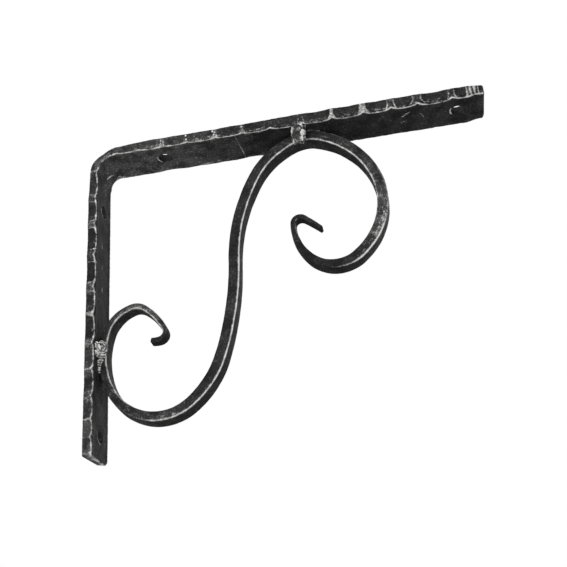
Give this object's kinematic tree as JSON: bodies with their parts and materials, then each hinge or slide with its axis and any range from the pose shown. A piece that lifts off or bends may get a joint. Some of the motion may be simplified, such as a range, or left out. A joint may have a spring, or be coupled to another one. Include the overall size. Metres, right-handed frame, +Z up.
{
  "type": "shelf bracket",
  "caption": "L-shaped shelf bracket of black wrought-iron flat bar with hammered edges, screw holes in leg and arm, and a welded S-scroll in the corner.",
  "frame": {"origin": "on the wall face, midway between the two wall screw holes and on the bar's centre line", "axes": "+X out from the wall along the arm, +Y across the bar towards the back edge, +Z up towards the shelf"},
  "size_m": [0.2252, 0.025, 0.1857],
  "materials": {
    "black_iron": "black forged iron, satin, with silver rubbed onto its arrises and high spots",
    "weld_bead": "black over a rough weld bead, silver rubbed on its high spots"
  },
  "bodies": {
    "root": {"frame_bar": "black_iron", "scroll": "black_iron", "upper_weld": "weld_bead", "lower_weld": "weld_bead"}
  },
  "joints": []
}
